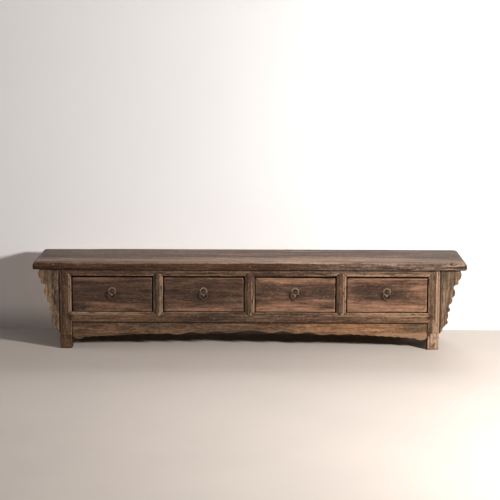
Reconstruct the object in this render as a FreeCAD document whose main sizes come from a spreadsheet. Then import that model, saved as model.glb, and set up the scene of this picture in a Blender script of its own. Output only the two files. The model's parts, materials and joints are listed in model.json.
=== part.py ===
import FreeCAD, Part

import os
import re

import Sketcher
from FreeCAD import Placement, Rotation, Vector

# Low table with four drawers in a row under one long plank. Millimetres, +Z up, origin on the
# floor under the middle of the top. The front is towards -Y, the right-hand end towards +X.
# The front frame is mitred and beaded, and every joint is a mortise and tenon, a tongue in a
# groove or a dovetail. A tenon and its mortise are cut by the same solid, so they always fit.

DRAWERS = 4
DIVIDERS = DRAWERS - 1
TAILS_PER_CORNER = 3
END_SCALLOPS = 8
QUIRK_SIDES = 4
EYE_SIDES = 8
DISC_SIDES = 24
LEFT, RIGHT = -1, 1
FRONT, BACK = -1, 1

SIZES = [
    ("table_height", 435, "floor to the upper face of the top"),
    ("top_length", 2108, "whole length of the top"),
    ("top_depth", 396, "top, front to back"),
    ("top_thick", 42, "thickness of the plank"),
    ("top_corner_round", 14, "corner of the top, seen from above"),
    ("top_upper_round", 22, "upper edge of the top"),
    ("top_lower_round", 4, "lower edge of the top"),
    ("end_overhang", 128, "top beyond the outer side of a leg"),
    ("face_overhang", 15, "top beyond the front and back faces of the legs"),
    ("leg_width", 60, "leg, along the table"),
    ("leg_depth", 55, "leg, front to back"),
    ("leg_tenon_height", 22, "leg tenon in the top"),
    ("leg_tenon_shoulder", 14, "step round the leg tenon"),
    ("top_rail_height", 33, "front and back rail under the top"),
    ("opening_height", 176, "drawer opening between the rails"),
    ("lower_rail_height", 52, "rail under the drawers"),
    ("rail_depth", 45, "rails and dividers, front to back"),
    ("divider_width", 50, "upright between two drawers"),
    ("bead_width", 10, "bead along an edge of the front frame"),
    ("bead_round", 4.5, "rounded edge of a bead"),
    ("quirk_width", 4.5, "pointed groove beside a bead"),
    ("mitre_thick", 14, "front layer of the frame, mitred at its joints"),
    ("tenon_thick", 14, "tenons of rails and dividers"),
    ("tenon_wall", 5, "wood left beside a tenon"),
    ("divider_tenon", 18, "divider tenon in a rail"),
    ("side_tenon", 26, "side rail tenon in a leg"),
    ("wing_reach", 103, "wing, out from the leg"),
    ("wing_height", 315, "wing, down from the top"),
    ("wing_thick", 20, "wing board"),
    ("wing_setback", 5, "wing behind the leg's face"),
    ("tongue_thick", 8, "tongues of wings and aprons"),
    ("tongue_depth", 8, "tongues into their grooves"),
    ("apron_thick", 18, "apron boards"),
    ("apron_setback", 6, "apron behind the rail's face"),
    ("apron_middle_height", 40, "apron height at the middle arch"),
    ("apron_leg_height", 72, "apron height where it meets the leg"),
    ("apron_end_height", 87, "apron height at its end lobe"),
    ("scallop_bulge", 5, "depth of one small scallop"),
    ("side_apron_arch", 16, "rise of the arch under an end apron"),
    ("side_rail_thick", 36, "end rails between the legs"),
    ("side_rail_setback", 5, "end rails behind the outer side of the legs"),
    ("panel_thick", 10, "end and back panels"),
    ("panel_groove", 8, "panel edge in its groove"),
    ("runner_height", 30, "strip that a drawer slides on"),
    ("runner_ledge", 22, "runner under the edge of a drawer"),
    ("runner_stub", 10, "runner tenon in a rail"),
    ("runner_shoulder", 5, "step round the runner tenon"),
    ("guide_height", 25, "strip that keeps a drawer straight"),
    ("batten_width", 60, "batten across the underside of the top"),
    ("dovetail_height", 9, "batten dovetail in the top"),
    ("dovetail_flare", 5, "dovetail wider than its neck, each side"),
    ("drawer_recess", 6, "drawer face behind the frame's face"),
    ("drawer_side_gap", 3, "drawer to the side of its opening"),
    ("drawer_head_gap", 6.5, "drawer to the rail above it"),
    ("running_gap", 0.3, "drawer to what it slides on or stops at"),
    ("drawer_front_thick", 22, "drawer front board"),
    ("drawer_front_bevel", 2, "bevel round the face of a drawer"),
    ("drawer_side_thick", 12, "drawer side board"),
    ("drawer_side_drop", 4, "drawer side below the edge of the front"),
    ("drawer_back_thick", 12, "drawer back board"),
    ("drawer_back_inset", 10, "drawer side beyond the back"),
    ("drawer_bottom_thick", 8, "drawer bottom board"),
    ("drawer_lip", 8, "drawer side below the bottom board"),
    ("drawer_groove", 5, "drawer bottom and back in their grooves"),
    ("tail_length", 15, "dovetail of a drawer side"),
    ("tail_width", 32, "dovetail at its root"),
    ("tail_flare", 4, "dovetail wider at its end, each side"),
    ("plate_radius", 19, "round iron plate behind the ring"),
    ("plate_flat", 11, "radius of the raised middle of the plate"),
    ("plate_edge", 1, "plate thickness at its rim"),
    ("plate_dome", 1.5, "rise of the plate at its middle"),
    ("ring_radius", 18.5, "pull ring to the middle of its wire"),
    ("ring_wire", 2, "half the thickness of the ring's square wire"),
    ("eye_gap", 0.9, "corners of the ring's wire to the corners of the eye round it"),
    ("strip_thick", 1.6, "iron strip of the split pin"),
    ("strip_width", 5, "width of that strip"),
    ("pin_bend", 14, "bent end of the split pin inside the drawer"),
    ("pull_raise", 17, "eye above the middle of the drawer"),
]

# Places that follow from the sizes. Distances from the middle for x, signed for y and z.
PLACES = [
    ("top_under", "table_height - top_thick"),
    ("opening_top", "top_under - top_rail_height"),
    ("opening_floor", "opening_top - opening_height"),
    ("rail_under", "opening_floor - lower_rail_height"),
    ("leg_out", "top_length / 2 - end_overhang"),
    ("leg_in", "leg_out - leg_width"),
    ("opening_width", f"(2 * leg_in - {DIVIDERS} * divider_width) / {DRAWERS}"),
    ("bay", "opening_width + divider_width"),
    ("front_face", "face_overhang - top_depth / 2"),
    ("mitre_back", "front_face + mitre_thick"),
    ("tenon_back", "mitre_back + tenon_thick"),
    ("rail_back", "front_face + rail_depth"),
    ("leg_back", "front_face + leg_depth"),
    ("lower_mitre", "lower_rail_height / 2"),
    ("divider_mitre", "divider_width / 2"),
    ("divider_peak", "min(divider_mitre; top_rail_height - tenon_wall)"),
    ("divider_foot", "min(divider_mitre; lower_rail_height - tenon_wall)"),
    ("quirk_line", "bead_width + quirk_width / 2"),
    ("side_rail_out", "leg_out - side_rail_setback"),
    ("side_rail_in", "side_rail_out - side_rail_thick"),
    ("side_rail_mid", "side_rail_out - side_rail_thick / 2"),
    ("rail_tenon_end", "side_rail_mid - tenon_thick / 2 - tenon_wall"),
    ("back_mid", "-front_face - rail_depth / 2"),
    ("groove_floor", "opening_floor - panel_groove"),
    ("groove_top", "opening_top + panel_groove"),
    ("wing_mid", "front_face + wing_setback + wing_thick / 2"),
    ("wing_foot", "top_under - wing_height"),
    ("apron_back", "front_face + apron_setback + apron_thick"),
    ("apron_mid", "apron_back - apron_thick / 2"),
    ("drawer_face", "front_face + drawer_recess"),
    ("drawer_inner", "drawer_face + drawer_front_thick"),
    ("drawer_rear", "back_mid - panel_thick / 2 - running_gap"),
    ("drawer_half", "opening_width / 2 - drawer_side_gap"),
    ("drawer_floor", "opening_floor + running_gap"),
    ("drawer_head", "opening_top - drawer_head_gap"),
    ("side_head", "drawer_head - drawer_side_drop"),
    ("bottom_floor", "drawer_floor + drawer_lip"),
    ("bottom_top", "bottom_floor + drawer_bottom_thick"),
    ("tail_pitch", f"(side_head - drawer_floor) / {TAILS_PER_CORNER}"),
    ("tail_tip", "drawer_inner - tail_length"),
    ("plate_front", "drawer_face - plate_edge - plate_dome"),
    ("eye_hole", "sqrt(2) * ring_wire + eye_gap"),
    ("eye_outer", "eye_hole + strip_thick"),
    ("eye_y", "plate_front - eye_outer"),
    ("eye_z", "(drawer_floor + drawer_head) / 2 + pull_raise"),
]

# Edge of a wing as arcs from the top down: a point on the arc, then its end. Each point is a
# share of the wing's reach and of its height.
WING_START = (0.92, 0)
WING_ARCS = [
    ((1.00, 0.083), (0.84, 0.171)),
    ((0.88, 0.203), (0.78, 0.233)),
    ((0.66, 0.251), (0.64, 0.283)),
    ((0.73, 0.349), (0.57, 0.435)),
    ((0.60, 0.480), (0.49, 0.530)),
    ((0.435, 0.552), (0.435, 0.581)),
    ((0.50, 0.615), (0.37, 0.656)),
    ((0.415, 0.727), (0.345, 0.778)),
    ((0.405, 0.810), (0.31, 0.854)),
    ((0.215, 0.893), (0.165, 0.914)),
    ((0.125, 0.955), (0.02, 1)),
]

# Edge of the apron from its middle arch outwards, as such arcs. Each point is a share of the
# half length and of the way from the middle height to the end lobe. Small even scallops follow.
APRON_ARCH = (0.087, 0.20)
APRON_ARCS = [
    ((0.125, 0.29), (0.160, 0.15)),
    ((0.186, 0.11), (0.216, 0.17)),
    ((0.264, 0.35), (0.306, 0.23)),
    ((0.328, 0.20), (0.353, 0.26)),
    ((0.406, 0.48), (0.459, 0.35)),
    ((0.513, 0.46), (0.568, 0.33)),
]
SCALLOPS_END = (0.928, 0.70)
END_LOBE = 0.968

doc = FreeCAD.newDocument("low_table")


# Sheets of sizes and places

def fill_sheet(name, rows):
    sheet = doc.addObject("Spreadsheet::Sheet", name)
    for row, (alias, content, note) in enumerate(rows, start=1):
        sheet.set(f"A{row}", note)
        sheet.set(f"B{row}", content)
        sheet.setAlias(f"B{row}", alias)
    doc.recompute()
    return sheet


SHEET_OF = {alias: "Sizes" for alias, value, note in SIZES}
SHEET_OF.update({alias: "Places" for alias, text in PLACES})


def formula(text):
    """Put the sheet's name before each cell that the text names."""
    def cell(word):
        name = word.group()
        return f"{SHEET_OF[name]}.{name}" if name in SHEET_OF else name
    return re.sub(r"[a-z]\w+", cell, str(text))


sizes = fill_sheet("Sizes", [(alias, str(value), note) for alias, value, note in SIZES])
places = fill_sheet("Places", [(alias, "=" + formula(text), alias) for alias, text in PLACES])


def number(text):
    return float(sizes.evalExpression(formula(text)))


# Shapes bound to the sheets

def bind(thing, **texts):
    for name, text in texts.items():
        thing.setExpression(name, formula(text))


def place(thing, x, y, z, turn=Rotation()):
    thing.Placement = Placement(Vector(), turn)
    for axis, text in zip("xyz", (x, y, z)):
        thing.setExpression(f"Placement.Base.{axis}", formula(text))
    return thing


def span(side, near, far):
    """From near to far on the positive side, or the mirror image of that on the other."""
    return (f"{near}", f"{far}") if side > 0 else (f"-({far})", f"-({near})")


def about(middle, half):
    return (f"({middle}) - ({half})", f"({middle}) + ({half})")


def set_box(box, x, y, z):
    for size, (low, high) in zip(("Length", "Width", "Height"), (x, y, z)):
        bind(box, **{size: f"({high}) - ({low})"})
    return place(box, x[0], y[0], z[0])


def block(name, x, y, z):
    return set_box(doc.addObject("Part::Box", name), x, y, z)


def fuse(name, *pieces):
    whole = doc.addObject("Part::MultiFuse", name)
    whole.Shapes = pieces
    whole.Refine = True
    return whole


def cut(name, base, *tools):
    whole = doc.addObject("Part::Cut", name)
    whole.Base = base
    whole.Tool = tools[0] if len(tools) == 1 else fuse(name + "_waste", *tools)
    whole.Refine = True
    return whole


def overlap(name, base, tool):
    whole = doc.addObject("Part::Common", name)
    whole.Base = base
    whole.Tool = tool
    whole.Refine = True
    return whole


def group(name, pieces):
    whole = doc.addObject("Part::Compound", name)
    whole.Links = pieces
    return whole


def rod(name, sides, radius, length, x, y, z, turn=Rotation()):
    """A straight rod with flat sides. The radius is to its corners."""
    bar = doc.addObject("Part::Prism", name)
    bar.Polygon = sides
    bind(bar, Circumradius=radius, Height=length)
    return place(bar, x, y, z, turn)


ALONG_X = Rotation(Vector(0, 1, 0), 90)
ALONG_Y = Rotation(Vector(1, 0, 0), -90)
SAME_SPOT = 0.001


def edges_at(feature, **lines):
    """Edges that lie on all the given planes, such as Y="front_face"."""
    names = []
    for index, edge in enumerate(feature.Shape.Edges, start=1):
        box = edge.BoundBox
        ends = [(getattr(box, axis + "Min"), getattr(box, axis + "Max"), number(text))
                for axis, text in lines.items()]
        if all(abs(low - at) < SAME_SPOT and abs(high - at) < SAME_SPOT for low, high, at in ends):
            names.append(f"Edge{index}")
    return names


def dress_edges(kind, body, feature, name, line_sets):
    doc.recompute()
    names = [edge for lines in line_sets for edge in edges_at(feature, **lines)]
    dressed = body.newObject(kind, name)
    dressed.Base = (feature, names)
    return dressed


def round_edges(body, feature, name, radius, *line_sets):
    fillet = dress_edges("PartDesign::Fillet", body, feature, name, line_sets)
    bind(fillet, Radius=radius)
    return fillet


def bevel_edges(body, feature, name, size, *line_sets):
    chamfer = dress_edges("PartDesign::Chamfer", body, feature, name, line_sets)
    bind(chamfer, Size=size)
    return chamfer


def stock(name, x, y, z):
    """A body that starts as a squared length of wood."""
    body = doc.addObject("PartDesign::Body", name)
    return body, set_box(body.newObject("PartDesign::AdditiveBox", name + "_stock"), x, y, z)


def draw(sketch, start, runs):
    """Close an outline from start along runs: (end,) for a line, (through, end) for an arc."""
    def spot(point):
        return Vector(number(point[0]), number(point[1]), 0)

    starts = [start] + [run[-1] for run in runs[:-1]]
    shapes = []
    for here, (*through, there) in zip(starts, runs):
        first, last = spot(here), spot(there)
        if through:
            middle = spot(through[0])
            if (middle - first).cross(last - middle).z < 0:
                first, last = last, first
            shapes.append(Part.Arc(first, middle, last))
        else:
            shapes.append(Part.LineSegment(first, last))
    sketch.addGeometry(shapes)
    on_arcs = {item: run[0] for item, run in enumerate(runs) if len(run) > 1}
    sketch.addGeometry([Part.Point(spot(point)) for point in on_arcs.values()], True)

    rules = []
    texts = []

    def rule(kind, *ends, text=None):
        value = [] if text is None else [number(text)]
        rules.append(Sketcher.Constraint(kind, *ends, *value))
        texts.append(text)

    def pin(item, end, point):
        rule("DistanceX", -1, 1, item, end, text=point[0])
        rule("DistanceY", -1, 1, item, end, text=point[1])

    heads, tails = [], []
    for item, here in enumerate(starts):
        forward = sketch.Geometry[item].StartPoint.distanceToPoint(spot(here)) < SAME_SPOT
        heads.append((item, 1 if forward else 2))
        tails.append((item, 2 if forward else 1))
    for tail, head, run in zip(tails, heads[1:] + heads[:1], runs):
        rule("Coincident", *tail, *head)
        pin(*tail, run[-1])
    for mark, (item, point) in enumerate(on_arcs.items(), start=len(runs)):
        rule("PointOnObject", mark, 1, item)
        pin(mark, 1, point)
    sketch.addConstraint(rules)
    for index, text in enumerate(texts):
        if text is not None:
            sketch.setExpression(f"Constraints[{index}]", formula(text))


def outlined(name, role, start, runs, level, thick):
    """A board drawn on a plane of the given role, from a level along its normal onwards."""
    body = doc.addObject("PartDesign::Body", name)
    sketch = body.newObject("Sketcher::SketchObject", name + "_outline")
    plane = next(one for one in body.Origin.OriginFeatures if one.Role == role)
    sketch.AttachmentSupport = (plane, "")
    sketch.MapMode = "FlatFace"
    draw(sketch, start, runs)
    sketch.setExpression("AttachmentOffset.Base.z", formula(level))
    pad = body.newObject("PartDesign::Pad", name + "_pad")
    pad.Profile = sketch
    bind(pad, Length=thick)
    return body


def board(name, start, runs, back, thick):
    """A board with an outline drawn in the front view, from its back face forwards."""
    return outlined(name, "XZ_Plane", start, runs, f"-({back})", thick)


def end_board(name, start, runs, left, thick):
    """A board with an outline drawn in the view from the right, from its left face onwards."""
    return outlined(name, "YZ_Plane", start, runs, left, thick)


def polygon(name, corners, back, thick):
    return board(name, corners[-1], [(corner,) for corner in corners], back, thick)


# Front frame: the outlines that shape the mitred front layer of each member

FRONT_ALLOWANCE = "mitre_thick + tenon_wall"


def front_outline(name, corners):
    return polygon(name, corners, "mitre_back", FRONT_ALLOWANCE)


def divider_x(index):
    return f"({index - (DIVIDERS - 1) / 2}) * bay"


def drawer_x(index):
    return f"({index - (DRAWERS - 1) / 2}) * bay"


rail_middle = "opening_floor - lower_mitre"
lower_outline = front_outline("lower_rail_outline", [
    ("-leg_in", "rail_under"),
    ("-leg_in - lower_mitre", rail_middle),
    ("-leg_in", "opening_floor"),
    ("leg_in", "opening_floor"),
    ("leg_in + lower_mitre", rail_middle),
    ("leg_in", "rail_under"),
])
top_outline = front_outline("top_rail_outline", [
    ("-leg_in", "opening_top"),
    ("-leg_in - top_rail_height", "top_under"),
    ("leg_in + top_rail_height", "top_under"),
    ("leg_in", "opening_top"),
])


def divider_outline(index):
    x = divider_x(index)
    left, right = about(x, "divider_width / 2")
    return front_outline(f"divider_outline_{index + 1}", [
        (left, "opening_floor"),
        (left, "opening_top"),
        (x, "opening_top + divider_peak"),
        (right, "opening_top"),
        (right, "opening_floor"),
        (x, "opening_floor - divider_foot"),
    ])


divider_outlines = [divider_outline(index) for index in range(DIVIDERS)]


# Tenons, tongues and stubs, each shared by the piece that has it and the piece that takes it

TENON_Y = ("mitre_back", "tenon_back")
LOWER_TENON_Z = ("rail_under + tenon_wall", "opening_floor - panel_groove - tenon_wall")
TOP_TENON_Z = ("opening_top + panel_groove + tenon_wall", "top_under - tenon_wall")
BACK_TENON_Y = about("back_mid", "tenon_thick / 2")
ENDS = {"left": LEFT, "right": RIGHT}
FACES = {"front": FRONT, "back": BACK}
CORNERS = [(face, end) for face in FACES for end in ENDS]


def rail_tenons(name, y, z):
    return {end: block(f"{name}_tenon_{end}", span(side, "leg_in", "rail_tenon_end"), y, z)
            for end, side in ENDS.items()}


front_lower_tenons = rail_tenons("front_lower", TENON_Y, LOWER_TENON_Z)
front_top_tenons = rail_tenons("front_top", TENON_Y, TOP_TENON_Z)
back_lower_tenons = rail_tenons("back_lower", BACK_TENON_Y, LOWER_TENON_Z)
back_top_tenons = rail_tenons("back_top", BACK_TENON_Y, TOP_TENON_Z)


def divider_tenon(index):
    x = about(divider_x(index), "divider_width / 2 - tenon_wall")
    z = ("opening_floor - divider_tenon", "opening_top + divider_tenon")
    return block(f"divider_tenon_{index + 1}", x, TENON_Y, z)


divider_tenons = [divider_tenon(index) for index in range(DIVIDERS)]


# Frame members with beads

def beaded_post(name, x, z):
    """An upright of the front frame, with a bead along both edges of its face."""
    back = "leg_back" if "leg" in name else "rail_back"
    body, wood = stock(name + "_wood", x, ("front_face", back), z)
    round_edges(body, wood, name + "_beads", "bead_round",
                {"X": x[0], "Y": "front_face"}, {"X": x[1], "Y": "front_face"})
    lines = (f"({x[0]}) + quirk_line", f"({x[1]}) - quirk_line")
    length = f"({z[1]}) - ({z[0]})"
    quirks = [rod(f"{name}_quirk_{index}", QUIRK_SIDES, "quirk_width / 2", length, line, "front_face", z[0])
              for index, line in enumerate(lines)]
    return cut(name + "_beaded", body, *quirks)


def beaded_rail(name, half, z, edge, quirk):
    """A rail of the front frame, with a bead along the edge beside the drawers."""
    body, wood = stock(name + "_wood", about("0", half), ("front_face", "rail_back"), z)
    round_edges(body, wood, name + "_bead", "bead_round", {"Y": "front_face", "Z": edge})
    groove = rod(name + "_quirk", QUIRK_SIDES, "quirk_width / 2", f"2 * ({half})",
                 f"-({half})", "front_face", quirk, ALONG_X)
    return cut(name + "_beaded", body, groove)


def front_rail(name, half, z, edge, quirk, outline, tenons, *joints):
    rear = block(name + "_rear", about("0", "leg_in"), ("mitre_back", "rail_back"), z)
    limits = fuse(name + "_limits", outline, rear, *tenons.values())
    fitted = overlap(name + "_fitted", beaded_rail(name, half, z, edge, quirk), limits)
    return cut(name, fitted, *divider_outlines, *divider_tenons, *joints)


def divider(index):
    name = f"divider_{index + 1}"
    x = about(divider_x(index), "divider_width / 2")
    z = ("opening_floor - max(divider_foot; divider_tenon)",
         "opening_top + max(divider_peak; divider_tenon)")
    rear = block(name + "_rear", x, ("mitre_back", "rail_back"), ("opening_floor", "opening_top"))
    limits = fuse(name + "_limits", divider_outlines[index], rear, divider_tenons[index])
    return overlap(name, beaded_post(name, x, z), limits)


# Runners and guides between the drawers

def runner_x(index):
    """One runner under each divider, and one beside the legs at each end."""
    if index == 0:
        return span(LEFT, "leg_in - runner_ledge", "leg_in")
    if index == DRAWERS:
        return span(RIGHT, "leg_in - runner_ledge", "leg_in")
    return about(divider_x(index - 1), "divider_width / 2 + runner_ledge")


def runner_stub(index):
    left, right = runner_x(index)
    return block(f"runner_stub_{index + 1}",
                 (f"{left} + runner_shoulder", f"{right} - runner_shoulder"),
                 about("0", "runner_stub - rail_back"),
                 ("opening_floor - runner_height + runner_shoulder", "opening_floor - runner_shoulder"))


runner_stubs = [runner_stub(index) for index in range(DRAWERS + 1)]


def runner(index):
    strip = block(f"runner_strip_{index + 1}", runner_x(index), about("0", "-rail_back"),
                  ("opening_floor - runner_height", "opening_floor"))
    return fuse(f"runner_{index + 1}", strip, runner_stubs[index])


def guide(index):
    z = ("opening_floor", "opening_floor + guide_height")
    if index in (0, DRAWERS):
        x = span(LEFT if index == 0 else RIGHT, "leg_in", "side_rail_mid - panel_thick / 2")
        return block(f"guide_{index + 1}", x, about("0", "-leg_back"), z)
    return block(f"guide_{index + 1}", about(divider_x(index - 1), "divider_width / 2"),
                 about("0", "-rail_back"), z)


# Wings and front apron

def wing_point(side, point):
    return (f"{side} * (leg_out + {point[0]} * wing_reach)", f"top_under - {point[1]} * wing_height")


def wing_y(face):
    """Back face of a wing, which its board is drawn from."""
    return "wing_mid + wing_thick / 2" if face == "front" else "wing_thick / 2 - wing_mid"


def wing_tongue(face, end):
    y = about("wing_mid" if face == "front" else "-wing_mid", "tongue_thick / 2")
    return block(f"wing_tongue_{face}_{end}", span(ENDS[end], "leg_out - tongue_depth", "leg_out"), y,
                 ("wing_foot + tongue_depth", "top_under"))


def wing(face, end):
    side = ENDS[end]
    runs = [(wing_point(side, through), wing_point(side, stop)) for through, stop in WING_ARCS]
    runs += [(wing_point(side, (0, 1)),), (wing_point(side, (0, 0)),), (wing_point(side, WING_START),)]
    scalloped = board(f"wing_board_{face}_{end}", wing_point(side, WING_START), runs,
                      wing_y(face), "wing_thick")
    return fuse(f"wing_{face}_{end}", scalloped, wing_tongues[face, end])


wing_tongues = {corner: wing_tongue(*corner) for corner in CORNERS}


def apron_point(side, point):
    depth = f"apron_middle_height + {point[1]} * (apron_end_height - apron_middle_height)"
    return (f"{side} * {point[0]} * leg_in", f"rail_under - ({depth})")


def scallop_runs(side):
    """The half of the apron's edge on one side, from the middle arch to the leg."""
    runs = [(apron_point(side, through), apron_point(side, stop)) for through, stop in APRON_ARCS]
    first = APRON_ARCS[-1][1]

    def along(share):
        return tuple(start + share * (stop - start) for start, stop in zip(first, SCALLOPS_END))

    for scallop in range(END_SCALLOPS):
        middle = apron_point(side, along((scallop + 0.5) / END_SCALLOPS))
        stop = apron_point(side, along((scallop + 1) / END_SCALLOPS))
        runs.append(((middle[0], f"{middle[1]} - scallop_bulge"), stop))
    lobe = (f"{side} * {END_LOBE} * leg_in", "rail_under - apron_end_height")
    runs.append((lobe, (f"{side} * leg_in", "rail_under - apron_leg_height")))
    return runs


def reversed_runs(start, runs):
    """The same arcs, drawn from the other end."""
    stops = [start] + [stop for through, stop in runs]
    back = [(through, stops[index]) for index, (through, stop) in enumerate(runs)]
    return stops[-1], back[::-1]


APRON_TONGUE_Y = about("apron_mid", "tongue_thick / 2")
apron_top_tongue = block("apron_top_tongue", about("0", "leg_in"), APRON_TONGUE_Y,
                         ("rail_under", "rail_under + tongue_depth"))
apron_end_tongues = {end: block(f"apron_tongue_{end}", span(side, "leg_in", "leg_in + tongue_depth"),
                                APRON_TONGUE_Y,
                                ("rail_under - apron_leg_height + tongue_depth", "rail_under"))
                     for end, side in ENDS.items()}


def front_apron():
    start, runs = reversed_runs(apron_point(LEFT, APRON_ARCH), scallop_runs(LEFT))
    runs.append((apron_point(RIGHT, (0, 0)), apron_point(RIGHT, APRON_ARCH)))
    runs += scallop_runs(RIGHT)
    runs += [(("leg_in", "rail_under"),), (("-leg_in", "rail_under"),), (start,)]
    scalloped = board("apron_board", start, runs, "apron_back", "apron_thick")
    return fuse("front_apron", scalloped, apron_top_tongue, *apron_end_tongues.values())


# Ends and back

PANEL_Z = ("groove_floor", "groove_top")
RAIL_Z = {"lower": ("rail_under", "opening_floor"), "top": ("opening_top", "top_under")}
TENON_Z = {"lower": LOWER_TENON_Z, "top": TOP_TENON_Z}


def side_tenon(level, end):
    return block(f"side_{level}_tenon_{end}",
                 span(ENDS[end], "side_rail_mid - tenon_thick / 2", "side_rail_mid + tenon_thick / 2"),
                 about("0", "side_tenon - leg_back"), TENON_Z[level])


side_tenons = {(level, end): side_tenon(level, end) for level in RAIL_Z for end in ENDS}
side_panels = {end: block(f"side_panel_{end}",
                          span(side, "side_rail_mid - panel_thick / 2", "side_rail_mid + panel_thick / 2"),
                          about("0", "panel_groove - leg_back"), PANEL_Z)
               for end, side in ENDS.items()}
back_panel = block("back_panel", about("0", "leg_in + panel_groove"),
                   about("back_mid", "panel_thick / 2"), PANEL_Z)


def side_apron_tongue(end):
    """One strip for the tongues of an end apron, into the rail above and into both legs."""
    x = span(ENDS[end], "side_rail_mid - tongue_thick / 2", "side_rail_mid + tongue_thick / 2")
    upper = block(f"side_apron_upper_{end}", x, about("0", "-leg_back"),
                  ("rail_under", "rail_under + tongue_depth"))
    across = block(f"side_apron_across_{end}", x, about("0", "tongue_depth - leg_back"),
                   ("rail_under - apron_leg_height + tongue_depth", "rail_under"))
    return fuse(f"side_apron_tongue_{end}", upper, across)


side_apron_tongues = {end: side_apron_tongue(end) for end in ENDS}


def side_apron(end):
    foot = "rail_under - apron_leg_height"
    start = ("leg_back", foot)
    runs = [
        (("0", f"{foot} + side_apron_arch"), ("-leg_back", foot)),
        (("-leg_back", "rail_under"),),
        (("leg_back", "rail_under"),),
        (start,),
    ]
    across = span(ENDS[end], "side_rail_mid - apron_thick / 2", "side_rail_mid + apron_thick / 2")
    arched = end_board(f"side_apron_board_{end}", start, runs, across[0], "apron_thick")
    return fuse(f"side_apron_{end}", arched, side_apron_tongues[end])


def side_rail(level, end):
    name = f"side_{level}_rail_{end}"
    joints = [side_panels[end]]
    if level == "lower":
        joints.append(side_apron_tongues[end])
    bar = block(name + "_bar", span(ENDS[end], "side_rail_in", "side_rail_out"), about("0", "-leg_back"),
                RAIL_Z[level])
    return cut(name, fuse(name + "_tenoned", bar, side_tenons[level, end]), *joints)


def back_rail(level, tenons, *joints):
    name = f"back_{level}_rail"
    bar = block(name + "_bar", about("0", "leg_in"), ("-rail_back", "-front_face"), RAIL_Z[level])
    return cut(name, fuse(name + "_tenoned", bar, *tenons.values()), back_panel, *joints)


# Legs

LEG_JOINTS = {
    "front": [front_lower_tenons, front_top_tenons],
    "back": [back_lower_tenons, back_top_tenons],
}


def leg_tenon(face, end):
    y = span(FACES[face], "-leg_back + leg_tenon_shoulder", "-front_face - leg_tenon_shoulder")
    return block(f"leg_tenon_{face}_{end}",
                 span(ENDS[end], "leg_in + leg_tenon_shoulder", "leg_out - leg_tenon_shoulder"), y,
                 ("top_under", "top_under + leg_tenon_height"))


leg_tenons = {corner: leg_tenon(*corner) for corner in CORNERS}


def leg(face, end):
    name = f"leg_{face}_{end}"
    x = span(ENDS[end], "leg_in", "leg_out")
    z = ("0", "top_under")
    joints = [tenons[end] for tenons in LEG_JOINTS[face]]
    joints += [side_tenons["lower", end], side_tenons["top", end]]
    joints += [side_panels[end], side_apron_tongues[end], wing_tongues[face, end]]
    if face == "front":
        post = beaded_post(name, x, z)
        joints += [lower_outline, top_outline, apron_end_tongues[end]]
    else:
        post, wood = stock(name + "_wood", x, ("-leg_back", "-front_face"), z)
        round_edges(post, wood, name + "_edges", "bead_round",
                    {"X": x[0], "Y": "-front_face"}, {"X": x[1], "Y": "-front_face"})
        joints.append(back_panel)
    return cut(name, fuse(name + "_tenoned", post, leg_tenons[face, end]), *joints)


# Top and its battens

def batten_key(name, index, back):
    """The dovetail of a batten, from behind the front rail to the given place at the back."""
    x = divider_x(index)
    neck = "batten_width / 2 - dovetail_flare"
    corners = [
        (about(x, neck)[0], "top_under"),
        (about(x, "batten_width / 2")[0], "top_under + dovetail_height"),
        (about(x, "batten_width / 2")[1], "top_under + dovetail_height"),
        (about(x, neck)[1], "top_under"),
    ]
    return polygon(f"{name}_{index + 1}", corners, back, f"({back}) - rail_back")


def batten(index):
    bar = block(f"batten_bar_{index + 1}", about(divider_x(index), "batten_width / 2"),
                about("0", "-rail_back"), ("opening_top", "top_under"))
    key = batten_key("batten_key", index, "top_depth / 2 - top_lower_round")
    return fuse(f"batten_{index + 1}", bar, key)


def top_board():
    half_length, half_depth = "top_length / 2", "top_depth / 2"
    body, plank = stock("top_plank", about("0", half_length), about("0", half_depth),
                        ("top_under", "table_height"))
    corners = [{"X": x, "Y": y} for x in about("0", half_length) for y in about("0", half_depth)]
    cornered = round_edges(body, plank, "top_corners", "top_corner_round", *corners)
    upper = round_edges(body, cornered, "top_upper_edge", "top_upper_round", {"Z": "table_height"})
    round_edges(body, upper, "top_lower_edge", "top_lower_round", {"Z": "top_under"})
    slots = [batten_key("batten_slot", index, "top_depth / 2 + tenon_wall") for index in range(DIVIDERS)]
    return cut("top_board", body, *slots, *leg_tenons.values())


# Drawers and their pulls

def dovetail(name, x, middle):
    tail = doc.addObject("Part::Wedge", name)
    bind(tail, Xmin="0", Xmax="drawer_side_thick", X2min="0", X2max="drawer_side_thick",
         Ymin="0", Ymax="tail_length",
         Zmin="-tail_width / 2 - tail_flare", Zmax="tail_width / 2 + tail_flare",
         Z2min="-tail_width / 2", Z2max="tail_width / 2")
    return place(tail, x, "tail_tip", middle)


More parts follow.
